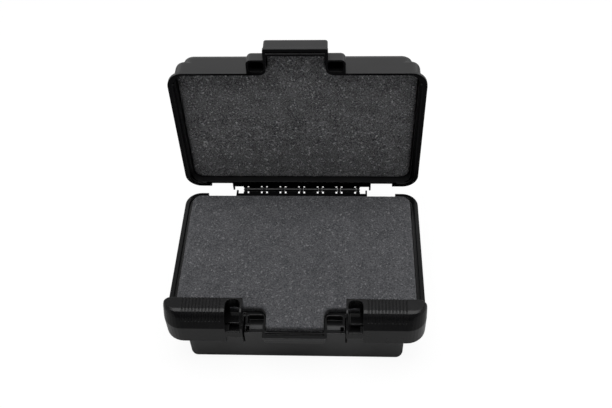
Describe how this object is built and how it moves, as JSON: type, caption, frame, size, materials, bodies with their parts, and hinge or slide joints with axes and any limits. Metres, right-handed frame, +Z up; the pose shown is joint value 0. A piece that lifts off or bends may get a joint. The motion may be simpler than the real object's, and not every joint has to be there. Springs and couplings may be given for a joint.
{
  "type": "foam-lined hard case",
  "caption": "Hard plastic carrying case with a hinged lid, sliding latches at the front corners, a front grip tongue and a foam block in each half, shown open.",
  "frame": {"origin": "on the underside, at the middle of the width and of the rim's depth", "axes": "+X to the right along the hinge, +Y to the back, towards the hinge, +Z up"},
  "size_m": [0.27, 0.2403, 0.2533],
  "materials": {
    "base_plastic": "satin black moulded plastic",
    "lid_plastic": "satin black moulded plastic",
    "latch_plastic": "satin black moulded plastic with a soft sheen",
    "base_foam": "open-cell charcoal foam",
    "lid_foam": "open-cell charcoal foam, coarser and darker",
    "pin_steel": "plain steel wire"
  },
  "bodies": {
    "base": {"base_shell": "base_plastic", "base_foam": "base_foam", "hinge_pin": "pin_steel"},
    "lid": {"lid_shell": "lid_plastic", "lid_foam": "lid_foam"},
    "left_latch": {"left_latch": "latch_plastic"},
    "right_latch": {"right_latch": "latch_plastic"}
  },
  "joints": [
    {"name": "lid_hinge", "type": "hinge", "parent": "base", "child": "lid", "pos_m": [0, 0.0895, 0.0495], "axis": [1, 0, 0], "range_deg": [0, 91]},
    {"name": "left_latch_slide", "type": "slide", "parent": "base", "child": "left_latch", "axis": [1, 0, 0], "range_m": [0, 0.015]},
    {"name": "right_latch_slide", "type": "slide", "parent": "base", "child": "right_latch", "axis": [-1, 0, 0], "range_m": [0, 0.015]}
  ]
}
